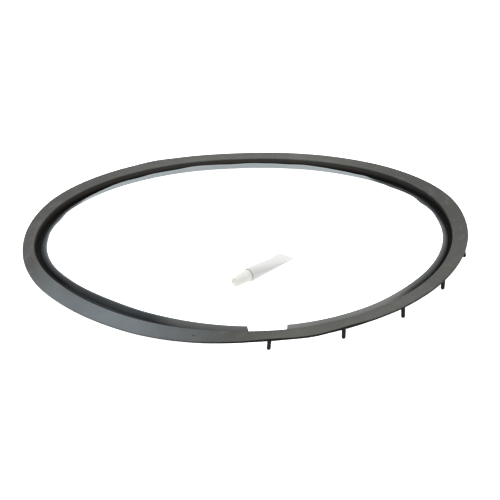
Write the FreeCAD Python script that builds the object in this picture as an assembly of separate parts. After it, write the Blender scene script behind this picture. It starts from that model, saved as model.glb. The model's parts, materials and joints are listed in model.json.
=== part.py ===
"""Door seal kit: a large moulded rubber sealing ring that plugs on with a circle of pegs, and the small
screw-cap tube of seal paste that is supplied with it, lying on the same surface inside the ring.

Millimetres, +Z up. The origin is on the surface that the kit stands on, at the ring's centre.
The lip's notch and the first peg are at -Y.
"""

import FreeCAD, Part
import math
import os

from FreeCAD import Placement, Rotation, Vector

# Seal carrier: a flat flange, and the outer wall and floor of the channel under its inner edge
FLANGE_R = 285.0
FLANGE_INNER_R = 265.0
FLANGE_TOP = 19.5
FLANGE_THICKNESS = 2.5
WALL_THICKNESS = 2.4
CHANNEL_FLOOR_TOP = 10.8
CHANNEL_FLOOR_BOTTOM = 8.8
WALL_FOOT_R = 262.0
LIP_JOIN_R = 260.2
EDGE_ROUND = 0.9

# Sealing lip: a thin blade that rises inwards from the channel floor
LIP_EDGE_R = 253.2
LIP_EDGE_Z = 18.1
LIP_EDGE_THICKNESS = 1.0
LIP_HEEL_R = 258.3
NOTCH_WIDTH = 50.0

# Pegs: moulded studs with a flat head inside the flange and a round tip
PEG_COUNT = 18
PEG_CIRCLE_R = 278.5
PEG_R = 2.6
PEG_COLLAR_R = 3.5
PEG_COLLAR_LENGTH = 2.4
PEG_HEAD_R = 4.2
PEG_HEAD_THICKNESS = 1.2

# Paste tube: its own X runs from the cap to the crimped tail, and X = 0 is the sleeve's round end
SLEEVE_R = 9.5
SLEEVE_WALL = 0.5
SLEEVE_LENGTH = 74.0
SLEEVE_STRAIGHT = 4.0
CRIMP_LENGTH = 5.0
CRIMP_WIDTH = 27.0
CRIMP_THICKNESS = 1.1
CRIMP_DROP = 1.0
SLEEVE_STATIONS = 6
TUBE_PLACE = Vector(-1.5, -71.2, SLEEVE_R)
TUBE_HEADING = 43.8

# Shoulder and nozzle, moulded in one piece and welded into the sleeve
SHOULDER_SKIRT = 3.0
SHOULDER_LENGTH = 3.6
SHOULDER_WALL = 1.2
NECK_ROOT_R = 5.2
NECK_R = 4.3
NECK_END = 16.0
NOZZLE_TIP_R = 3.2
NOZZLE_END = 19.5
NOZZLE_BORE_R = 1.6
MEMBRANE_THICKNESS = 0.2
PASTE_GAP = 0.1

# Screw cap: a cone whose bore runs on the neck
CAP_START = 7.0
CAP_LENGTH = 23.0
CAP_MOUTH_R = 8.3
CAP_END_R = 5.6
CAP_END_CHAMFER = 0.8
CAP_BORE_R = NECK_R + 0.08
LINER_THICKNESS = 1.0
LINER_GAP = 0.3

UP = Vector(0, 0, 1)


def rounded_outline(corners, to_point):
    """A closed wire through corners of (a, b, radius); each corner with a radius is a tangent arc."""
    starts, middles, ends = [], [], []
    count = len(corners)
    for index, (a, b, radius) in enumerate(corners):
        corner = Vector(a, b, 0)
        before = Vector(*corners[index - 1][:2], 0) - corner
        after = Vector(*corners[(index + 1) % count][:2], 0) - corner
        before.normalize()
        after.normalize()
        half_angle = before.getAngle(after) / 2
        reach = radius / math.tan(half_angle)
        bisector = (before + after).normalize()
        centre_distance = radius / math.sin(half_angle)
        starts.append(corner + before * reach)
        middles.append(corner + bisector * (centre_distance - radius))
        ends.append(corner + after * reach)
    edges = []
    for index in range(count):
        if corners[index][2] > 0:
            arc = Part.Arc(to_point(starts[index]), to_point(middles[index]), to_point(ends[index]))
            edges.append(arc.toShape())
        start = to_point(ends[index])
        end = to_point(starts[(index + 1) % count])
        if start.distanceToPoint(end) > 1e-6:
            edges.append(Part.makeLine(start, end))
    return Part.Wire(edges)


def turned_about_z(corners, centre=Vector(0, 0, 0)):
    """A solid of revolution about +Z from corners of (radius, height, rounding)."""
    wire = rounded_outline(corners, lambda p: Vector(p.x, 0, p.y) + centre)
    return Part.Face(wire).revolve(centre, UP, 360)


def turned_about_x(corners):
    """A solid of revolution about the tube's own X from corners of (x, radius, rounding)."""
    wire = rounded_outline(corners, lambda p: Vector(p.x, 0, p.y))
    return Part.Face(wire).revolve(Vector(0, 0, 0), Vector(1, 0, 0), 360)


def peg_centre(index):
    angle = math.radians(-90 + index * 360 / PEG_COUNT)
    return Vector(PEG_CIRCLE_R * math.cos(angle), PEG_CIRCLE_R * math.sin(angle), 0)


def peg_head(index):
    base = peg_centre(index) + UP * (FLANGE_TOP - FLANGE_THICKNESS)
    return Part.makeCylinder(PEG_HEAD_R, PEG_HEAD_THICKNESS, base, UP)


def peg(index):
    flange_underside = FLANGE_TOP - FLANGE_THICKNESS
    centre = peg_centre(index)
    shank_top = flange_underside - PEG_COLLAR_LENGTH
    tip = Part.makeSphere(PEG_R, centre + UP * PEG_R, UP, -90, 0, 360)
    shank = Part.makeCylinder(PEG_R, shank_top - PEG_R, centre + UP * PEG_R, UP)
    collar = Part.makeCone(PEG_R, PEG_COLLAR_R, PEG_COLLAR_LENGTH, centre + UP * shank_top, UP)
    return tip.fuse([shank, collar, peg_head(index)]).removeSplitter()


def seal_carrier():
    flange_underside = FLANGE_TOP - FLANGE_THICKNESS
    profile = [
        (FLANGE_R, flange_underside, EDGE_ROUND),
        (FLANGE_R, FLANGE_TOP, EDGE_ROUND),
        (FLANGE_INNER_R, FLANGE_TOP, EDGE_ROUND),
        (WALL_FOOT_R, CHANNEL_FLOOR_TOP, EDGE_ROUND),
        (LIP_JOIN_R, CHANNEL_FLOOR_TOP, 0),
        (LIP_JOIN_R, CHANNEL_FLOOR_BOTTOM, 0),
        (WALL_FOOT_R + WALL_THICKNESS, CHANNEL_FLOOR_BOTTOM, EDGE_ROUND),
        (FLANGE_INNER_R + WALL_THICKNESS, flange_underside, EDGE_ROUND),
    ]
    carrier = turned_about_z(profile)
    return carrier.cut([peg_head(index) for index in range(PEG_COUNT)])


def sealing_lip():
    edge_round = 0.45 * LIP_EDGE_THICKNESS
    profile = [
        (LIP_JOIN_R, CHANNEL_FLOOR_BOTTOM, 0),
        (LIP_JOIN_R, CHANNEL_FLOOR_TOP, 0),
        (LIP_EDGE_R + 0.4 * LIP_EDGE_THICKNESS, LIP_EDGE_Z + 0.3 * LIP_EDGE_THICKNESS, edge_round),
        (LIP_EDGE_R - 0.4 * LIP_EDGE_THICKNESS, LIP_EDGE_Z - 0.3 * LIP_EDGE_THICKNESS, edge_round),
        (LIP_HEEL_R, CHANNEL_FLOOR_BOTTOM, EDGE_ROUND),
    ]
    notch_depth = 2 * (LIP_JOIN_R - LIP_EDGE_R) + 4
    notch_corner = Vector(-NOTCH_WIDTH / 2, -LIP_JOIN_R - 2, 0)
    notch = Part.makeBox(NOTCH_WIDTH, notch_depth, FLANGE_TOP + 1, notch_corner)
    return turned_about_z(profile).cut(notch)


def sleeve_section(x, inset):
    """The sleeve's cross-section at x: a circle that flattens to the crimp and keeps its girth."""
    share = (x - SLEEVE_STRAIGHT) / (SLEEVE_LENGTH - CRIMP_LENGTH - SLEEVE_STRAIGHT)
    half_height = SLEEVE_R + (CRIMP_THICKNESS / 2 - SLEEVE_R) * share
    half_width = SLEEVE_R + (CRIMP_WIDTH / 2 - SLEEVE_R) * math.sin(share * math.pi / 2)
    centre = Vector(x, 0, -CRIMP_DROP * share)
    side = Vector(0, half_width - inset, 0)
    top = Vector(0, 0, max(half_height - inset, 0.2))
    if side.Length >= top.Length:
        ellipse = Part.Ellipse(centre + side, centre + top, centre)
    else:
        ellipse = Part.Ellipse(centre + top, centre - side, centre)
    return Part.Wire(ellipse.toShape())


def sleeve_form(inset, start, end):
    """The sleeve's outside, or its inside at an inset: a short straight length, then a loft to the tail."""
    along = Vector(1, 0, 0)
    straight = Part.makeCylinder(SLEEVE_R - inset, SLEEVE_STRAIGHT - start, along * start, along)
    step = (end - SLEEVE_STRAIGHT) / (SLEEVE_STATIONS - 1)
    stations = [SLEEVE_STRAIGHT + step * index for index in range(SLEEVE_STATIONS)]
    return straight.fuse(Part.makeLoft([sleeve_section(x, inset) for x in stations], True))


def placed(shape):
    """Moves a shape from the tube's own frame to the place where the tube lies."""
    copy = shape.copy()
    copy.Placement = Placement(TUBE_PLACE, Rotation(UP, TUBE_HEADING))
    return copy


def tube_sleeve():
    tail_start = SLEEVE_LENGTH - CRIMP_LENGTH
    crimp_corner = Vector(tail_start - 1, -CRIMP_WIDTH / 2, -CRIMP_DROP - CRIMP_THICKNESS / 2)
    crimp = Part.makeBox(CRIMP_LENGTH + 1, CRIMP_WIDTH, CRIMP_THICKNESS, crimp_corner)
    outside = sleeve_form(0, 0, tail_start).fuse(crimp)
    return placed(outside.cut(sleeve_form(SLEEVE_WALL, 0, tail_start - 2)))


def paste_filling():
    end = SLEEVE_LENGTH - CRIMP_LENGTH - 3
    return placed(sleeve_form(SLEEVE_WALL + PASTE_GAP, SHOULDER_SKIRT + PASTE_GAP, end))


def tube_shoulder():
    skirt_r = SLEEVE_R - SLEEVE_WALL
    profile = [
        (SHOULDER_SKIRT, skirt_r - SHOULDER_WALL, 0),
        (SHOULDER_SKIRT, skirt_r, 0),
        (0, skirt_r, 0),
        (0, SLEEVE_R, 0),
        (-SHOULDER_LENGTH, NECK_ROOT_R, 0),
        (-CAP_START + 1, NECK_ROOT_R, 0),
        (-CAP_START + 0.5, NECK_R, 0),
        (-NECK_END, NECK_R, 0),
        (-NOZZLE_END, NOZZLE_TIP_R, 0),
        (-NOZZLE_END, NOZZLE_BORE_R, 0),
        (-SHOULDER_LENGTH + SHOULDER_WALL, NOZZLE_BORE_R, 0),
        (0, skirt_r - 2 * SHOULDER_WALL, 0),
    ]
    return placed(turned_about_x(profile))


def nozzle_membrane():
    mouth = Vector(-NOZZLE_END - MEMBRANE_THICKNESS, 0, 0)
    return placed(Part.makeCylinder(NOZZLE_TIP_R - 0.5, MEMBRANE_THICKNESS, mouth, Vector(1, 0, 0)))


def cap_liner():
    face = -NOZZLE_END - MEMBRANE_THICKNESS - LINER_GAP - LINER_THICKNESS
    return placed(Part.makeCylinder(NECK_R - 0.2, LINER_THICKNESS, Vector(face, 0, 0), Vector(1, 0, 0)))


def screw_cap():
    mouth = -CAP_START
    end = mouth - CAP_LENGTH
    bore_end = -NOZZLE_END - MEMBRANE_THICKNESS - LINER_GAP - LINER_THICKNESS
    taper = (CAP_MOUTH_R - CAP_END_R) / CAP_LENGTH
    profile = [
        (bore_end, 0, 0),
        (bore_end, CAP_BORE_R, 0),
        (mouth, CAP_BORE_R, 0),
        (mouth, CAP_MOUTH_R, 0),
        (end + CAP_END_CHAMFER, CAP_END_R + CAP_END_CHAMFER * taper, 0),
        (end, CAP_END_R - CAP_END_CHAMFER, 0),
        (end, 0, 0),
    ]
    return placed(turned_about_x(profile))


def main():
    nodes = {
        "seal_carrier": seal_carrier(),
        "sealing_lip": sealing_lip(),
        "tube_sleeve": tube_sleeve(),
        "tube_shoulder": tube_shoulder(),
        "nozzle_membrane": nozzle_membrane(),
        "paste_filling": paste_filling(),
        "cap_liner": cap_liner(),
        "screw_cap": screw_cap(),
    }
    for index in range(PEG_COUNT):
        nodes[f"peg_{index + 1:02d}"] = peg(index)
    os.makedirs("parts", exist_ok=True)
    for name, shape in nodes.items():
        box = shape.BoundBox
        print(name, shape.isValid(), len(shape.Solids), f"{shape.Volume:.1f}",
              f"x {box.XMin:.1f} {box.XMax:.1f} y {box.YMin:.1f} {box.YMax:.1f}",
              f"z {box.ZMin:.2f} {box.ZMax:.2f}")
        shape.exportStep(f"parts/{name}.step")


main()
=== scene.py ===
"""The look of the door seal kit: a flexible rubber ring with pegs that lies a little twisted, as rubber does,
and a small tube of paste beside it. Metres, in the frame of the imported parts."""

import json
import math

import bmesh
import bpy
from mathutils import Matrix, Vector


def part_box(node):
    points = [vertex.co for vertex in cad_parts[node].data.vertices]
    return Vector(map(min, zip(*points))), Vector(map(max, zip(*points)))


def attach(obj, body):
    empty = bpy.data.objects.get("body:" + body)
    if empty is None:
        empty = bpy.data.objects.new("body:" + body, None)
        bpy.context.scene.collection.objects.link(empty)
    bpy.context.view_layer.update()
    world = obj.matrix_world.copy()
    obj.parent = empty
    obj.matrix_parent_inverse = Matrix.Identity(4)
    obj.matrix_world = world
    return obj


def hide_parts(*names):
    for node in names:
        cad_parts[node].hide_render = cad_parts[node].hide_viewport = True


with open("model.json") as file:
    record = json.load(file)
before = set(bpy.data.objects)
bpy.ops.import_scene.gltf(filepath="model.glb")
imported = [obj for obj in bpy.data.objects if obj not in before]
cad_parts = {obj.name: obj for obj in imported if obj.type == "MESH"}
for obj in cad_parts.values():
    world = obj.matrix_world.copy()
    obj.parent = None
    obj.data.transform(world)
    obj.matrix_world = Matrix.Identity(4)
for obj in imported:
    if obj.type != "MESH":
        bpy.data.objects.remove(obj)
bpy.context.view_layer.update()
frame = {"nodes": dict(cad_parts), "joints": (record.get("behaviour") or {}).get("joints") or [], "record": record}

MM = 0.001
SECTOR_COUNT = 720

# The ring's section, as (radius, height) corners
FLANGE_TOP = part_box("seal_carrier")[1].z
FLANGE_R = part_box("seal_carrier")[1].x
FLANGE_INNER_R = FLANGE_R - 20.0 * MM
FLANGE_UNDERSIDE = FLANGE_TOP - 2.5 * MM
CHANNEL_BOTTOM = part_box("seal_carrier")[0].z
CHANNEL_FLOOR = CHANNEL_BOTTOM + 2.0 * MM
LIP_JOIN_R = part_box("sealing_lip")[1].x
LIP_EDGE_R = LIP_JOIN_R - 7.0 * MM
LIP_EDGE_Z = FLANGE_TOP - 1.4 * MM
NOTCH_HALF_WIDTH = 25.0 * MM
NOTCH_SLANT = 0.25

MOUNTS = {mount["name"]: mount for mount in frame["record"]["mounts"]}
PEG_CIRCLE_R = MOUNTS["peg_circle"]["dims"]["pcd_mm"] / 2 * MM
PEG_COUNT = MOUNTS["peg_circle"]["dims"]["count"]
PEG_R = MOUNTS["peg_circle"]["dims"]["stud_r_mm"] * MM

CAP_TURN = next(joint for joint in frame["joints"] if joint["name"] == "cap_turn")
TUBE_START = Vector(CAP_TURN["pos_m"])
TUBE_OUTWARD = Vector(CAP_TURN["axis"]).normalized()
TUBE_TURN = Matrix.Rotation(math.atan2(-TUBE_OUTWARD.y, -TUBE_OUTWARD.x), 4, "Z")

# How the rubber lies, at places round the ring from +X: direction, the flange's tilt (its outer edge down)
# and the channel's tilt (its lip up) in degrees, then the crease's shift outwards and upwards and the lip's
# stretch inwards in millimetres
LIE = [
    (-175, 47, 26, 0.4, 0.0, 2.5),
    (-158, 37, 38, -5.8, 1.6, 1.5),
    (-140, 34, 45, -7.4, 1.4, 2.2),
    (-124, 35, 41, -3.0, 2.2, 1.0),
    (-108, 26, 25, 1.5, 2.6, 0.5),
    (-95, 15, 13, 3.6, 2.6, 0.0),
    (-80, 10, 9, 4.4, 1.4, 0.0),
    (-58, 4, 6, 0.9, 0.8, 0.0),
    (-40, 0, 10, -1.4, 0.0, 0.8),
    (-20, -5, 4, -1.2, 0.0, 0.5),
    (5, -8, -7, 3.5, 0.0, 1.5),
    (22, -3, -10, 8.0, 1.2, 4.0),
    (42, 0, -12, 7.6, 1.1, 4.4),
    (60, 0, -6, 4.0, 0.5, 1.4),
    (85, 1, -3, 1.5, 0.1, 0.4),
    (105, 0, -4, 4.6, 0.9, 0.8),
    (122, 0, -5, 7.6, 1.4, 1.6),
    (142, 4, -8, 8.8, 2.0, 3.6),
    (158, 20, 0, 8.0, 1.2, 5.0),
    (172, 42, 10, 6.0, 0.0, 5.2),
]

# Short waves, as (direction, half width in degrees, size): the flange's outer edge upwards, its rim
# downwards, and the lip's free edge inwards and upwards in millimetres, and the rubber's slip along the ring
# in degrees
EDGE_WAVES = [(-90, 8, 1.5), (-79, 5, -0.4), (-69, 8, 1.4), (-52, 7, -0.4), (108, 7, 0.9)]
RIM_DROPS = [(-90, 7, 1.3), (-69, 7, 1.5), (-79, 6, 0.4)]
LIP_WAVES = [(47, 4, -1.6), (37, 5, 1.4), (29, 4, -1.2), (22, 4, 1.2), (14, 5, -0.8), (152, 6, 1.2),
             (162, 5, -0.6), (104, 5, 0.5), (93, 4, -0.4)]
LIP_RISES = [(116, 5, -0.9), (107, 5, -0.4), (98, 6, 1.0), (88, 4, -0.5), (82, 4, 0.4), (72, 4, -0.5),
             (66, 4, 0.5), (57, 5, -0.4), (124, 5, 0.5)]
SLIP = [(-76, 44, 0.45)]

# How the pegs lean, in degrees, by number: along the ring, and inwards under it. A small negative number
# leans outwards; the large ones are folded under the ring's low side
PEG_SIDEWAYS = {1: -7, 2: -6, 3: -13, 4: -15, 5: -4, 18: 12}
PEG_FOLDED = {18: 60, 17: 58, 16: 60, 15: 66, 14: 66, 13: -8, 12: -10, 11: -8, 10: -6, 9: -6, 8: -8, 7: -8,
              5: -8, 3: -4, 2: -4}


# ---------------------------------------------------------------- hand tools


def begin():
    """Leaves edit mode and deselects everything."""
    if bpy.context.object and bpy.context.object.mode != "OBJECT":
        bpy.ops.object.mode_set(mode="OBJECT")
    bpy.ops.object.select_all(action="DESELECT")


def edit(piece):
    """Opens the piece in edit mode with nothing selected."""
    begin()
    piece.select_set(True)
    bpy.context.view_layer.objects.active = piece
    bpy.ops.object.mode_set(mode="EDIT")
    bpy.ops.mesh.select_all(action="DESELECT")


def leave(piece):
    """Leaves edit mode."""
    bpy.ops.object.mode_set(mode="OBJECT")
    return piece


def finished(piece, angle=38):
    """Applies the piece's place, points its faces outwards and smooths them, but for edges sharper than
    angle."""
    edit(piece)
    bpy.ops.mesh.select_all(action="SELECT")
    bpy.ops.mesh.remove_doubles(threshold=0.00001)
    bpy.ops.mesh.normals_make_consistent(inside=False)
    leave(piece)
    bpy.ops.object.transform_apply(location=True, rotation=True, scale=True)
    bpy.ops.object.shade_smooth_by_angle(angle=math.radians(angle))
    return piece


def select_faces(piece, wanted):
    """Selects the faces that wanted(centre, normal) is true for. Call it in edit mode."""
    shape = bmesh.from_edit_mesh(piece.data)
    for face in shape.faces:
        face.select_set(wanted(face.calc_center_median(), face.normal))
    bmesh.update_edit_mesh(piece.data)


def modified(piece, kind, **settings):
    """Adds a modifier with these settings and applies it."""
    begin()
    piece.select_set(True)
    bpy.context.view_layer.objects.active = piece
    modifier = piece.modifiers.new(kind.lower(), kind)
    for name, value in settings.items():
        setattr(modifier, name, value)
    bpy.ops.object.modifier_apply(modifier=modifier.name)
    return piece


def extruded_rings(name, stations, sides, closed):
    """A turned form about +Z: a circle of edges, extruded and resized from station to station of
    (radius, height). A closed form is bridged from its last circle to its first."""
    begin()
    radius, height = stations[0]
    bpy.ops.mesh.primitive_circle_add(vertices=sides, radius=radius, location=(0, 0, height))
    piece = bpy.context.object
    piece.name = name
    bpy.ops.object.transform_apply(location=True, rotation=True, scale=True)
    bpy.ops.object.mode_set(mode="EDIT")
    bpy.ops.mesh.select_all(action="SELECT")
    for next_radius, next_height in stations[1:]:
        lift = {"value": (0, 0, next_height - height)}
        bpy.ops.mesh.extrude_edges_move(TRANSFORM_OT_translate=lift)
        ratio = next_radius / radius
        bpy.ops.transform.resize(value=(ratio, ratio, 1))
        radius, height = next_radius, next_height
    bpy.ops.mesh.select_all(action="DESELECT")
    bpy.ops.mesh.select_non_manifold(extend=False)
    if closed:
        bpy.ops.mesh.bridge_edge_loops()
    return leave(piece)


def between(start, end, count):
    """The points that divide the run from start to end into count steps, without start."""
    return [tuple(a + (b - a) * step / count for a, b in zip(start, end)) for step in range(1, count + 1)]


# ---------------------------------------------------------------- how the rubber lies


def waves(humps, direction):
    """The sum of the humps that reach a direction."""
    total = 0.0
    for centre, half_width, size in humps:
        away = abs((direction - centre + 180) % 360 - 180) / half_width
        if away < 1:
            total += size * math.cos(away * math.pi / 2) ** 2
    return total


def lie_at(direction):
    """The lie in one direction: a smooth curve through the places in LIE, which closes on itself."""
    count = len(LIE)
    direction = (direction - LIE[0][0]) % 360 + LIE[0][0]
    index = max(i for i in range(count) if LIE[i][0] <= direction)
    around = [index - 1, index, index + 1, index + 2]
    at = [LIE[i % count][0] + 360 * (i // count) for i in around]
    share = (direction - at[1]) / (at[2] - at[1])
    lie = []
    for before, start, end, after in zip(*(LIE[i % count][1:] for i in around)):
        slope_in = (end - before) / (at[2] - at[0]) * (at[2] - at[1])
        slope_out = (after - start) / (at[3] - at[1]) * (at[2] - at[1])
        ease = share * share * (3 - 2 * share)
        bend = share * (1 - share) * (slope_in * (1 - share) - slope_out * share)
        lie.append(start + (end - start) * ease + bend)
    return lie


def lain(point):
    """Where a point of the straight ring goes when the rubber lies as it does. The section folds at the
    crease between the flange and the channel."""
    radius = math.hypot(point.x, point.y)
    direction = math.degrees(math.atan2(point.y, point.x))
    flange_tilt, channel_tilt, outwards, upwards, stretch = lie_at(direction)
    out, up = radius - FLANGE_INNER_R, point.z - FLANGE_TOP
    flange_share = max(0.0, out) / (FLANGE_R - FLANGE_INNER_R)
    lip_share = max(0.0, min(1.0, (LIP_JOIN_R - radius) / (LIP_JOIN_R - LIP_EDGE_R)))
    inner_share = max(0.0, min(1.0, -out / (FLANGE_INNER_R - LIP_EDGE_R)))
    up += waves(EDGE_WAVES, direction) * MM * flange_share**2
    rim_share = max(0.0, min(1.0, (FLANGE_UNDERSIDE - point.z) / (0.4 * MM))) * flange_share**8
    up -= waves(RIM_DROPS, direction) * MM * rim_share
    up += waves(LIP_RISES, direction) * MM * lip_share**2
    out -= waves(LIP_WAVES, direction) * MM * lip_share**2 + stretch * MM * inner_share**1.5
    fold = max(0.0, min(1.0, 0.5 + out / (3 * MM)))
    tilt = math.radians(channel_tilt + (flange_tilt - channel_tilt) * fold)
    new_radius = FLANGE_INNER_R + out * math.cos(tilt) + up * math.sin(tilt) + outwards * MM
    new_z = FLANGE_TOP + up * math.cos(tilt) - out * math.sin(tilt) + upwards * MM
    turn = math.radians(direction + waves(SLIP, direction))
    return Vector((new_radius * math.cos(turn), new_radius * math.sin(turn), new_z))


def lay_down(piece):
    """Lays a piece of the ring down, and keeps where its points were on the straight ring for its finish."""
    straight = piece.data.attributes.new("straight", "FLOAT_VECTOR", "POINT")
    for vertex in piece.data.vertices:
        straight.data[vertex.index].vector = vertex.co
        vertex.co = lain(vertex.co)
    piece.data.update()
    return piece


# ---------------------------------------------------------------- the seal


def make_carrier():
    """The flange with its beaded inner edge, the channel's outer wall and the channel's floor."""
    crease = (FLANGE_INNER_R, FLANGE_TOP)
    bead = (FLANGE_INNER_R + 0.8 * MM, FLANGE_TOP + 0.15 * MM)
    dip = (FLANGE_INNER_R + 2.6 * MM, FLANGE_TOP - 0.15 * MM)
    rim_top = (FLANGE_R - 0.1 * MM, FLANGE_TOP)
    rim_low = (FLANGE_R - 0.1 * MM, FLANGE_UNDERSIDE - 0.7 * MM)
    rim_back = (FLANGE_R - 1.6 * MM, FLANGE_UNDERSIDE - 0.5 * MM)
    root = (FLANGE_INNER_R + 2.6 * MM, FLANGE_UNDERSIDE)
    heel = (FLANGE_INNER_R - 0.8 * MM, CHANNEL_BOTTOM)
    join_low = (LIP_JOIN_R, CHANNEL_BOTTOM)
    join_high = (LIP_JOIN_R, CHANNEL_FLOOR)
    floor_end = (FLANGE_INNER_R - 3.0 * MM, CHANNEL_FLOOR)
    stations = [crease, bead, dip]
    stations += between(dip, rim_top, 6) + [rim_low, rim_back]
    stations += between(rim_back, root, 4) + between(root, heel, 3)
    stations += [join_low, join_high, floor_end] + between(floor_end, crease, 3)[:-1]
    piece = extruded_rings("seal_carrier_rubber", stations, SECTOR_COUNT, closed=True)
    modified(piece, "BEVEL", width=0.0006, segments=3, limit_method="ANGLE", angle_limit=math.radians(40))
    return finished(lay_down(piece))


def make_lip():
    """The thin blade of the lip, cut square at the notch."""
    join_high = (LIP_JOIN_R, CHANNEL_FLOOR)
    edge_out = (LIP_EDGE_R + 0.45 * MM, LIP_EDGE_Z + 0.25 * MM)
    edge_in = (LIP_EDGE_R - 0.4 * MM, LIP_EDGE_Z - 0.3 * MM)
    heel = (LIP_JOIN_R - 1.9 * MM, CHANNEL_BOTTOM)
    join_low = (LIP_JOIN_R, CHANNEL_BOTTOM)
    stations = [join_high] + between(join_high, edge_out, 5) + [edge_in]
    stations += between(edge_in, heel, 5) + [join_low]
    piece = extruded_rings("sealing_lip_rubber", stations, SECTOR_COUNT, closed=True)
    modified(piece, "BEVEL", width=0.0003, segments=2, limit_method="ANGLE", angle_limit=math.radians(40))
    edit(piece)
    for side in (-1, 1):
        cut = Vector((side * NOTCH_HALF_WIDTH, 0, LIP_EDGE_Z))
        slant = Vector((side, 0, -NOTCH_SLANT))
        select_faces(piece, lambda centre, normal: centre.y < 0 and side * centre.x > 0)
        bpy.ops.mesh.bisect(plane_co=cut, plane_no=slant)
    inside = NOTCH_HALF_WIDTH - 0.2 * MM

    def in_notch(centre, normal):
        slanted = abs(centre.x) + NOTCH_SLANT * (LIP_EDGE_Z - centre.z)
        return centre.y < 0 and slanted < inside

    select_faces(piece, in_notch)
    bpy.ops.mesh.delete(type="FACE")
    bpy.ops.mesh.select_non_manifold(extend=False)
    bpy.ops.mesh.fill_holes(sides=0)
    leave(piece)
    return finished(lay_down(piece))


def peg_pattern():
    """One straight peg at the origin, hanging down from the flange: round tip, shank and flared root."""
    length = FLANGE_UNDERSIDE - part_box("peg_01")[0].z
    tip = [(PEG_R * math.cos(a), -length + PEG_R - PEG_R * math.sin(a))
           for a in (math.radians(82), math.radians(60), math.radians(35), math.radians(12))]
    shank = [(PEG_R, -length + PEG_R), (PEG_R * 1.04, -length / 2), (PEG_R * 1.08, -3.2 * MM)]
    flare = [(PEG_R * 1.18, -1.8 * MM), (PEG_R * 1.45, -0.7 * MM), (PEG_R * 1.9, 0.15 * MM)]
    piece = extruded_rings("peg_pattern", tip + shank + flare, 32, closed=False)
    edit(piece)
    bpy.ops.mesh.select_non_manifold(extend=False)
    bpy.ops.mesh.fill_holes(sides=0)
    leave(piece)
    return finished(piece, angle=60)


def make_pegs():
    """The pegs, copied from one. Each leans as its number says, or further if the floor pushes it over."""
    pattern = peg_pattern()
    length = FLANGE_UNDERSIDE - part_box("peg_01")[0].z
    pegs = []
    for number in range(1, PEG_COUNT + 1):
        direction = -90 + (number - 1) * 360 / PEG_COUNT
        turn = math.radians(direction)
        root = lain(Vector((PEG_CIRCLE_R * math.cos(turn), PEG_CIRCLE_R * math.sin(turn), FLANGE_UNDERSIDE)))
        pushed = math.acos(min(1.0, (root.z - PEG_R) / (length - PEG_R)))
        fold = math.radians(PEG_FOLDED.get(number, 0))
        lean_in = math.copysign(max(abs(fold), pushed), fold)
        lean_along = math.radians(PEG_SIDEWAYS.get(number, 4 * math.sin(2.3 * number)))
        leaned = Matrix.Rotation(lean_in, 4, "Y") @ Matrix.Rotation(lean_along, 4, "X")
        begin()
        peg = bpy.data.objects.new(f"peg_rubber_{number:02d}", pattern.data.copy())
        bpy.context.scene.collection.objects.link(peg)
        peg.matrix_world = Matrix.Translation(root) @ Matrix.Rotation(turn, 4, "Z") @ leaned
        peg.select_set(True)
        bpy.context.view_layer.objects.active = peg
        bpy.context.view_layer.update()
        bpy.ops.object.transform_apply(location=True, rotation=True, scale=True)
        pegs.append(peg)
    bpy.data.objects.remove(pattern)
    return pegs


# ---------------------------------------------------------------- the tube


def put_in_place(piece):
    """Moves a tube piece, made along +X from its sleeve's round end, to where the tube lies."""
    piece.data.transform(Matrix.Translation(TUBE_START) @ TUBE_TURN)
    return piece


def make_sleeve():
    """The soft sleeve: rolled over the shoulder, and flattened towards a welded tail with pressed ridges."""
    round_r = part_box("tube_sleeve")[1].z / 2
    length = 74 * MM
    tail = length - 5 * MM
    girth_width = 27.0 * MM
    rolled, rolled_r = 3.0 * MM, round_r - 0.9 * MM
    begin()
    bpy.ops.mesh.primitive_cylinder_add(vertices=64, radius=rolled_r, depth=0.2 * MM, end_fill_type="NOTHING",
                                        location=(0, 0, -rolled))
    piece = bpy.context.object
    piece.name = "tube_sleeve_skin"
    bpy.ops.object.transform_apply(location=True, rotation=True, scale=True)
    edit(piece)
    shape = bmesh.from_edit_mesh(piece.data)
    for edge in shape.edges:
        edge.select_set(all(vertex.co.z > -rolled for vertex in edge.verts))
    bmesh.update_edit_mesh(piece.data)
    height = 0.1 * MM - rolled
    thickness, width = 2 * rolled_r, 2 * rolled_r

    def next_station(at, new_thickness, new_width, drop=0.0):
        nonlocal height, thickness, width
        move = {"value": (drop, 0, at - height)}
        bpy.ops.mesh.extrude_edges_move(TRANSFORM_OT_translate=move)
        bpy.ops.transform.resize(value=(new_thickness / thickness, new_width / width, 1))
        height, thickness, width = at, new_thickness, new_width

    for share, gap in ((0.12, 0.45), (0.35, 0.12), (0.6, 0.0)):
        next_station(rolled * (share - 1), 2 * round_r - 2 * gap * MM, 2 * round_r - 2 * gap * MM)
    next_station(0.8 * MM, 2 * round_r, 2 * round_r)
    steps = 22
    for step in range(1, steps + 1):
        share = step / steps
        flat = 2 * round_r + (1.1 * MM - 2 * round_r) * share**1.08
        broad = 2 * round_r + (girth_width - 2 * round_r) * math.sin(share * math.pi / 2)
        next_station(0.8 * MM + (tail - 0.8 * MM) * share, flat, broad, drop=1.0 * MM / steps)
    for ridge in range(5):
        at = tail + (ridge + 0.5) * 0.95 * MM
        next_station(at, (0.75 if ridge % 2 == 0 else 1.15) * MM, girth_width)
    next_station(length, 0.8 * MM, girth_width - 0.3 * MM)
    bpy.ops.mesh.select_all(action="DESELECT")
    bpy.ops.mesh.select_non_manifold(extend=False)
    bpy.ops.mesh.fill_holes(sides=0)
    leave(piece)
    piece.data.transform(Matrix.Rotation(math.radians(90), 4, "Y"))
    modified(piece, "SUBSURF", levels=1, render_levels=1)
    return finished(put_in_place(piece), angle=50)


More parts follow.
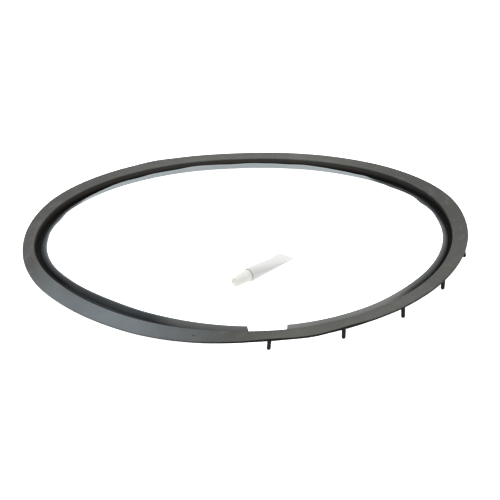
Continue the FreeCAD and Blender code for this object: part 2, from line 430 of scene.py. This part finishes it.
def make_cap():
    """The conical cap: a plain collar at its mouth, fine ribs up the cone, a rounded and dished end, and a
    double wall inside."""
    skirt = 2.6 * MM
    mouth, length = 7.0 * MM - skirt, 23.0 * MM + skirt
    mouth_r, end_r = 8.3 * MM, 6.3 * MM
    collar = 2.4 * MM
    bore_r = 4.38 * MM
    rib_sides = 144

    def cone_r(at):
        return mouth_r - 0.45 * MM + (end_r - mouth_r + 0.45 * MM) * (at - collar) / (length - collar)

    outside = [(mouth_r - 0.35 * MM, 0), (mouth_r, 0.35 * MM), (mouth_r, collar - 0.3 * MM),
               (cone_r(collar), collar)]
    outside += [(cone_r(at), at) for at in (collar + 0.6 * MM, 8 * MM, 13 * MM, length - 2.2 * MM)]
    outside += [(end_r - 0.05 * MM, length - 1.1 * MM), (end_r - 0.4 * MM, length - 0.35 * MM),
                (end_r - 1.0 * MM, length), (end_r - 1.7 * MM, length - 0.15 * MM),
                (end_r - 2.0 * MM, length - 0.5 * MM), (0.6 * MM, length - 0.55 * MM)]
    inside = [(mouth_r - 1.2 * MM, 0), (mouth_r - 1.5 * MM, 3 * MM), (cone_r(11 * MM) - 1.1 * MM, 11 * MM),
              (bore_r + 1.2 * MM, 11 * MM), (bore_r + 1.2 * MM, skirt), (bore_r + 0.1 * MM, skirt),
              (bore_r, skirt + 0.2 * MM), (bore_r, skirt + 14 * MM), (0.6 * MM, skirt + 14 * MM)]
    stations = list(reversed(inside)) + outside
    piece = extruded_rings("screw_cap_shell", stations, rib_sides, closed=False)
    edit(piece)
    bpy.ops.mesh.select_non_manifold(extend=False)
    bpy.ops.mesh.fill_holes(sides=0)
    leave(piece)
    rib_start, rib_end = collar + 0.3 * MM, length - 1.6 * MM
    for vertex in piece.data.vertices:
        radius = math.hypot(vertex.co.x, vertex.co.y)
        if rib_start < vertex.co.z < rib_end and radius > cone_r(vertex.co.z) - 0.3 * MM:
            around = round(math.atan2(vertex.co.y, vertex.co.x) / (2 * math.pi) * rib_sides)
            depth = 0.32 * MM if around % 6 in (0, 1) else 0.0
            vertex.co.x *= (radius - depth) / radius
            vertex.co.y *= (radius - depth) / radius
    piece.data.transform(Matrix.Rotation(math.radians(-90), 4, "Y"))
    piece.data.transform(Matrix.Translation((-mouth, 0, 0)))
    return finished(put_in_place(piece), angle=32)


# ---------------------------------------------------------------- finishes


class Number:
    """A number in a material's nodes; arithmetic on it adds Math nodes."""

    def __init__(self, finish, socket):
        self.finish, self.socket = finish, socket

    def __add__(self, other):
        return self.finish.maths("ADD", self, other)

    def __sub__(self, other):
        return self.finish.maths("SUBTRACT", self, other)

    def __rsub__(self, other):
        return self.finish.maths("SUBTRACT", other, self)

    def __mul__(self, other):
        return self.finish.maths("MULTIPLY", self, other)

    __radd__ = __add__
    __rmul__ = __mul__


class Finish:
    """A material with one Principled shader, and the few calls that its nodes are made with."""

    def __init__(self, name, place=None, **shader_values):
        self.material = bpy.data.materials.new(name)
        self.material.use_nodes = True
        self.tree = self.material.node_tree
        self.shader = self.tree.nodes["Principled BSDF"]
        for socket, value in shader_values.items():
            self.shader.inputs[socket.replace("_", " ")].default_value = value
        if place:
            self.place = self.node("ShaderNodeAttribute", {"attribute_name": place}).outputs["Vector"]
        else:
            self.place = self.node("ShaderNodeTexCoord").outputs["Object"]
        split = self.node("ShaderNodeSeparateXYZ", Vector=self.place)
        self.x, self.y, self.z = (Number(self, split.outputs[axis]) for axis in "XYZ")

    def node(self, kind, settings=None, **sockets):
        """Adds a node; settings are set first, then its sockets take values, sockets or numbers. A socket
        is called by its name, or by its place as i0, i1 and so on."""
        made = self.tree.nodes.new(kind)
        for name, value in (settings or {}).items():
            if name == "stops":
                self.set_stops(made.color_ramp, value)
            else:
                setattr(made, name, value)
        for name, value in sockets.items():
            socket = made.inputs[int(name[1:])] if name[0] == "i" and name[1:].isdigit() else (
                made.inputs[name.replace("_", " ")])
            self.feed(socket, value)
        return made

    def feed(self, socket, value):
        if isinstance(value, Number):
            value = value.socket
        if isinstance(value, bpy.types.NodeSocket):
            self.tree.links.new(value, socket)
        else:
            socket.default_value = value

    @staticmethod
    def set_stops(ramp, stops):
        while len(ramp.elements) < len(stops):
            ramp.elements.new(0.5)
        for element, (position, level) in zip(ramp.elements, stops):
            element.position = position
            element.color = (level, level, level, 1)

    def maths(self, operation, a, b=0.0, clamp=False):
        made = self.node("ShaderNodeMath", {"operation": operation, "use_clamp": clamp}, i0=a, i1=b)
        return Number(self, made.outputs[0])

    def clamped(self, value):
        return self.maths("ADD", value, 0.0, clamp=True)

    def noise(self, scale, detail=3.0, roughness=0.55, at=None):
        made = self.node("ShaderNodeTexNoise", Vector=at or self.place, Scale=scale, Detail=detail,
                         Roughness=roughness)
        return Number(self, made.outputs["Fac"])

    def ramp(self, value, *stops):
        made = self.node("ShaderNodeValToRGB", {"stops": stops}, Fac=value)
        return Number(self, made.outputs["Color"])

    def mixed(self, share, first, second, blend="MIX"):
        made = self.node("ShaderNodeMix", {"data_type": "RGBA", "blend_type": blend}, i0=share, i6=first,
                         i7=second)
        return made.outputs[2]

    def vector(self, x, y, z):
        return self.node("ShaderNodeCombineXYZ", X=x, Y=y, Z=z).outputs[0]

    def bumped(self, height, distance, strength=1.0, before=None):
        made = self.node("ShaderNodeBump", Height=height, Distance=distance, Strength=strength)
        if before:
            self.feed(made.inputs["Normal"], before)
        return made.outputs["Normal"]

    def wear(self, **values):
        """Feeds the shader's own sockets."""
        for socket, value in values.items():
            self.feed(self.shader.inputs[socket.replace("_", " ")], value)
        return self.material


def grey(level, warmth=0.0):
    """A grey with a little warmth (towards brown) or coolness (towards blue), as a colour."""
    return (level * (1 + warmth), level, level * (1 - warmth), 1)


def stretch_of_ring(finish, around, start, end, fade):
    """1 between two directions in degrees, and 0 outside them."""
    rise = finish.clamped((around - math.radians(start)) * math.degrees(1 / fade))
    return rise * finish.clamped((math.radians(end) - around) * math.degrees(1 / fade))


def near(finish, around, direction, reach):
    """1 in a direction in degrees, fading to 0 at reach degrees to either side of it."""
    edge = math.cos(math.radians(reach))
    facing = finish.maths("COSINE", around - math.radians(direction))
    return finish.clamped((facing - edge) * (1 / (1 - edge)))


def rubber_marks(finish, around, radius):
    """The marks that all the ring's rubber has: lines along the extrusion, cloudy bloom, rubbed patches,
    specks and grain."""
    lines = finish.noise(1.0, 2.0, 0.6, at=finish.vector(radius * 1400, around * 5, finish.z * 1400))
    cloud = finish.noise(14, 5.0, 0.62)
    smudge = finish.noise(60, 4.0, 0.6)
    bloom = finish.ramp(cloud, (0.38, 0.0), (0.72, 1.0))
    rubbed = finish.ramp(smudge * 0.6 + lines * 0.4, (0.52, 0.0), (0.68, 1.0))
    specks = finish.ramp(finish.noise(900, 1.0, 0.4), (0.70, 0.0), (0.76, 1.0))
    normal = finish.bumped(lines * 0.5 + smudge * 0.3, 0.00025, 0.55)
    normal = finish.bumped(finish.noise(2600, 2.0, 0.5), 0.00005, 0.6, before=normal)
    return lines, bloom, rubbed, specks, normal


def flange_rubber():
    """Grey rubber with painted light and shade: flange stretches painted paler, darker or bluish as the light
    falls on them, painted shade darkening the channel with depth, and painted shade making the flange's rim
    and under face nearly black. One fine line crosses it where its ends are joined."""
    finish = Finish("seal_rubber", place="straight", Specular_IOR_Level=0.06)
    around = finish.maths("ARCTAN2", finish.y, finish.x)
    radius = finish.maths("SQRT", finish.x * finish.x + finish.y * finish.y)
    lines, bloom, rubbed, specks, normal = rubber_marks(finish, around, radius)
    colour = finish.mixed(bloom * 0.6, (0.056, 0.056, 0.051, 1), (0.080, 0.080, 0.074, 1))
    # Painted light: the flange is painted paler at the back and front right, where more light falls
    pale = finish.clamped(near(finish, around, 80, 45) + near(finish, around, -68, 35))
    colour = finish.mixed(pale * (0.3 + 0.3 * bloom), colour, (0.110, 0.108, 0.100, 1))
    # Painted shade: both sides of the flange are painted darker, where less light falls
    shaded_sides = finish.clamped(near(finish, around, 20, 38) + near(finish, around, 160, 34))
    colour = finish.mixed(shaded_sides * 0.6, colour, (0.045, 0.044, 0.040, 1))
    # Painted reflection: the front left of the flange is painted bluish, for the blue window light it faces
    window_sheen = near(finish, around, -140, 40)
    colour = finish.mixed(window_sheen * (0.65 + 0.35 * bloom), colour, (0.145, 0.166, 0.180, 1))
    colour = finish.mixed(rubbed * 0.35, colour, grey(0.14, 0.0))
    colour = finish.mixed(specks * 0.30, colour, grey(0.22))
    channel = finish.clamped((FLANGE_INNER_R - radius) * 700)
    # Painted shade: the channel is painted darker with depth below the crease
    depth = finish.clamped((FLANGE_TOP - 1.5 * MM - finish.z) * 160)
    # The channel wall's colour is painted shade: darker on the right, paler at the back and open front left
    wall = finish.mixed(near(finish, around, 85, 75), (0.016, 0.014, 0.012, 1), (0.075, 0.067, 0.060, 1))
    wall = finish.mixed(near(finish, around, -12, 45), wall, grey(0.002))
    lit_open_side = near(finish, around, -135, 42)
    wall = finish.mixed(lit_open_side, wall, (0.050, 0.052, 0.053, 1))
    # Painted shade: down in the channel it is painted near black, less so on the open front left
    channel_shade = finish.mixed(depth * (1 - 0.8 * lit_open_side), wall, (0.0025, 0.0023, 0.002, 1))
    colour = finish.mixed(channel, colour, channel_shade)
    # Painted shade: the flange's outer rim, most of all at the front, and its under face are painted near black
    shaded_rim = finish.clamped((radius - FLANGE_R + 0.5 * MM) * 4000)
    shaded_rim = shaded_rim * (0.15 + 0.85 * stretch_of_ring(finish, around, -110, -58, 8))
    shaded_underside = finish.clamped((FLANGE_TOP - 0.8 * MM - finish.z) * 3000) * (1 - channel)
    colour = finish.mixed(finish.maths("MAXIMUM", shaded_rim, shaded_underside) * 0.94, colour, grey(0.003))
    away = finish.maths("ABSOLUTE", around - math.radians(-35.4))
    seam = 1 - finish.clamped(away * 900)
    colour = finish.mixed(seam * 0.55, colour, grey(0.015))
    normal = finish.bumped(seam * -1, 0.0003, 0.8, before=normal)
    rough = 0.42 + 0.12 * bloom + 0.08 * lines - 0.06 * rubbed + 0.2 * channel
    return finish.wear(Base_Color=colour, Roughness=rough, Normal=normal)


def blade_rubber():
    """The lip's softer, slate rubber: a pale band on the inner face along the back, painted shade making the
    stretch beside it nearly black, a painted sheen on the outer face in front, painted shade in the channel
    at the sides, and a painted highlight on the free edge."""
    finish = Finish("lip_rubber", place="straight", Specular_IOR_Level=0.10)
    around = finish.maths("ARCTAN2", finish.y, finish.x)
    radius = finish.maths("SQRT", finish.x * finish.x + finish.y * finish.y)
    lines, bloom, rubbed, specks, normal = rubber_marks(finish, around, radius)
    colour = finish.mixed(bloom * 0.6, (0.042, 0.047, 0.050, 1), (0.064, 0.074, 0.079, 1))
    colour = finish.mixed(rubbed * 0.3, colour, (0.07, 0.08, 0.083, 1))
    colour = finish.mixed(specks * 0.25, colour, grey(0.13))
    slope = (LIP_JOIN_R - 1.9 * MM - LIP_EDGE_R) / (LIP_EDGE_Z - CHANNEL_BOTTOM)
    middle = LIP_EDGE_R + 0.75 * MM + slope * (LIP_EDGE_Z - finish.z)
    inner_face = finish.clamped((middle - radius) * 2500)
    # The inner face is painted paler along the back
    pale = inner_face * stretch_of_ring(finish, around, 43, 140, 4)
    # Painted shade: beside the pale band the inner face is painted nearly black, where it lies in shade
    shaded_stretch = inner_face * stretch_of_ring(finish, around, 8, 46, 5)
    front = stretch_of_ring(finish, around, -92, -38, 8) + 0.5 * stretch_of_ring(finish, around, -124, -84, 8)
    right = stretch_of_ring(finish, around, -46, 12, 8)
    sides = finish.clamped(near(finish, around, -10, 42) * 2 + near(finish, around, 172, 32) * 2)
    # Painted shade: at the sides the lip's outer face is painted near black down in the channel
    deep_shade = finish.clamped((LIP_EDGE_Z - 1.5 * MM - finish.z) * 220) * sides * (1 - inner_face)
    # Painted highlight: the lip's free edge is painted a pale blue-grey where light catches it
    edge_highlight = finish.clamped((finish.z - LIP_EDGE_Z + 0.7 * MM) * 2500)
    # Painted sheen: the outer face is painted pale in front, and half as much on the right, where light catches it
    front_sheen = (1 - inner_face) * (front + 0.45 * right)
    colour = finish.mixed(front_sheen * (0.75 + 0.25 * bloom), colour, (0.25, 0.26, 0.245, 1))
    colour = finish.mixed(deep_shade * 0.95, colour, grey(0.004))
    colour = finish.mixed(edge_highlight * 0.7, colour, (0.13, 0.15, 0.155, 1))
    colour = finish.mixed(shaded_stretch, colour, grey(0.012))
    colour = finish.mixed(pale * (0.82 + 0.18 * bloom), colour, (0.36, 0.40, 0.415, 1))
    rough = 0.40 + 0.12 * bloom + 0.08 * lines + 0.1 * inner_face
    return finish.wear(Base_Color=colour, Roughness=rough, Normal=normal)


def peg_rubber():
    """Black rubber, slightly polished where the mould was."""
    finish = Finish("peg_rubber", Specular_IOR_Level=0.12)
    cloud = finish.noise(300, 3.0, 0.6)
    grain = finish.noise(2600, 2.0, 0.5)
    colour = finish.mixed(cloud, grey(0.004), grey(0.012))
    normal = finish.bumped(grain * 0.6 + cloud * 0.4, 0.0001, 0.5)
    return finish.wear(Base_Color=colour, Roughness=0.42 + 0.16 * cloud, Normal=normal)


def white_plastic(name, colour, shade, roughness):
    """Soft white plastic: faint clouding, a lower half painted paler as painted light from below, a pebbled
    skin and small scuffs.
    """
    finish = Finish(name, Specular_IOR_Level=0.5, Subsurface_Weight=0.06, Subsurface_Scale=0.002)
    cloud = finish.noise(90, 4.0, 0.6)
    pebble = finish.noise(1500, 2.0, 0.5)
    scuff = finish.ramp(finish.noise(420, 3.0, 0.65), (0.60, 0.0), (0.74, 1.0))
    tone = finish.mixed(cloud * 0.5, colour, shade)
    # Painted light: the lower half is painted paler, for light from below that the table doesn't give
    lower_half, fade = 11 * MM, 110
    underlit_tone = tuple(min(0.9, 1.3 * part) for part in colour[:3]) + (1,)
    low = finish.clamped((lower_half - finish.z) * fade)
    tone = finish.mixed(low * 0.9, tone, underlit_tone)
    tone = finish.mixed(scuff * 0.18, tone, shade)
    normal = finish.bumped(pebble * 0.5 + cloud * 0.8, 0.00012, 0.5)
    return finish.wear(Base_Color=tone, Roughness=roughness + 0.1 * scuff, Normal=normal)


def foil():
    """Thin crinkled metal foil."""
    finish = Finish("membrane_foil", Metallic=1.0)
    crinkle = finish.noise(700, 3.0, 0.6)
    tone = finish.mixed(crinkle, (0.72, 0.72, 0.73, 1), (0.86, 0.86, 0.86, 1))
    return finish.wear(Base_Color=tone, Roughness=0.25 + 0.15 * crinkle,
                       Normal=finish.bumped(crinkle, 0.0001, 0.7))


def studio_floor():
    """A pale table that gives its own light, so that it takes hardly any shadow."""
    finish = Finish("studio_floor", Specular_IOR_Level=0.2, Emission_Strength=1.1)
    cloud = finish.noise(3, 3.0, 0.5)
    tone = finish.mixed(cloud, (0.90, 0.90, 0.90, 1), (0.93, 0.93, 0.93, 1))
    return finish.wear(Base_Color=tone, Emission_Color=tone, Roughness=0.75 + 0.05 * cloud)


# ---------------------------------------------------------------- putting it together


def dress(piece, material, body, slot, *nodes):
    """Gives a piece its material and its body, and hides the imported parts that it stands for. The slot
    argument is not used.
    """
    piece.data.materials.clear()
    piece.data.materials.append(material)
    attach(piece, body)
    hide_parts(*nodes)


def refinish(node, material):
    """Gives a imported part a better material."""
    for slot in frame["nodes"][node].material_slots:
        slot.material = material


def build_seal():
    dress(make_carrier(), flange_rubber(), "seal", "seal_rubber", "seal_carrier")
    dress(make_lip(), blade_rubber(), "seal", "lip_rubber", "sealing_lip")
    black = peg_rubber()
    for number, peg in enumerate(make_pegs(), start=1):
        dress(peg, black, "seal", "peg_rubber", f"peg_{number:02d}")


def build_tube():
    sleeve = white_plastic("sleeve_plastic", (0.54, 0.545, 0.53, 1), (0.50, 0.51, 0.49, 1), 0.36)
    cap = white_plastic("cap_plastic", (0.66, 0.66, 0.62, 1), (0.60, 0.60, 0.555, 1), 0.32)
    dress(make_sleeve(), sleeve, "tube", "sleeve_plastic", "tube_sleeve")
    dress(make_cap(), cap, "cap", "cap_plastic", "screw_cap")
    shoulder = white_plastic("shoulder_plastic", (0.60, 0.60, 0.59, 1), (0.54, 0.54, 0.53, 1), 0.4)
    refinish("tube_shoulder", shoulder)
    refinish("paste_filling", white_plastic("paste", (0.74, 0.73, 0.68, 1), (0.68, 0.67, 0.62, 1), 0.2))
    refinish("cap_liner", white_plastic("liner_foam", (0.82, 0.82, 0.8, 1), (0.75, 0.75, 0.73, 1), 0.6))
    refinish("nozzle_membrane", foil())


def build_studio():
    """The table, four soft lights and the white surroundings."""
    begin()
    bpy.ops.mesh.primitive_grid_add(x_subdivisions=2, y_subdivisions=2, size=12)
    floor = bpy.context.object
    floor.name = "studio_floor"
    floor.data.materials.append(studio_floor())
    # The table doesn't light the rubber from below, so the undersides stay dark
    floor.visible_diffuse = False

    def softbox(name, place, aim, size, power, colour=(1, 1, 1)):
        light = bpy.data.lights.new(name, "AREA")
        light.shape, light.size, light.size_y = "RECTANGLE", size[0], size[1]
        light.energy, light.color = power, colour
        holder = bpy.data.objects.new(name, light)
        bpy.context.scene.collection.objects.link(holder)
        holder.location = place
        holder.rotation_euler = (Vector(aim) - Vector(place)).to_track_quat("-Z", "Y").to_euler()

    softbox("overhead", (0, 0.3, 1.9), (0, 0, 0), (2.6, 1.8), 12, (1.0, 0.99, 0.96))
    softbox("backdrop", (0, 2.1, 1.1), (0, 0, 0.1), (4.0, 2.0), 8, (1.0, 0.99, 0.96))
    softbox("window", (-1.15, 0.95, 1.75), (-0.1, -0.1, 0), (1.1, 1.1), 12, (0.82, 0.92, 1.0))
    softbox("front_fill", (0.2, -1.8, 1.5), (0, 0, 0), (1.6, 0.8), 6)

    world = bpy.data.worlds.new("studio_air")
    bpy.context.scene.world = world
    world.use_nodes = True
    background = world.node_tree.nodes["Background"]
    background.inputs["Color"].default_value = (1, 1, 1, 1)
    background.inputs["Strength"].default_value = 1.0
    bpy.context.scene.view_settings.view_transform = "Standard"


def place_camera():
    """Looks from the front, a little to the left of the notch and turned slightly about its own line of
    sight."""
    azimuth, elevation, roll = math.radians(-5.2), math.radians(24.65), math.radians(2.04)
    distance = 18.0
    view_width = 0.6407
    aim_right, aim_up = 5.9 * MM, 10.4 * MM
    toward = Vector((-math.sin(azimuth) * math.cos(elevation), math.cos(azimuth) * math.cos(elevation),
                     -math.sin(elevation)))
    level = toward.to_track_quat("-Z", "Y")
    turned = level @ Matrix.Rotation(-roll, 3, "Z").to_quaternion()
    right, up = turned @ Vector((1, 0, 0)), turned @ Vector((0, 1, 0))
    data = bpy.data.cameras.new("camera")
    data.lens = data.sensor_width * distance / view_width
    data.clip_end = 50
    camera = bpy.data.objects.new("camera", data)
    bpy.context.scene.collection.objects.link(camera)
    camera.rotation_mode = "QUATERNION"
    camera.rotation_quaternion = turned
    camera.location = right * aim_right + up * aim_up - toward * distance
    bpy.context.scene.camera = camera


build_seal()
build_tube()
build_studio()
place_camera()

bpy.context.view_layer.update()
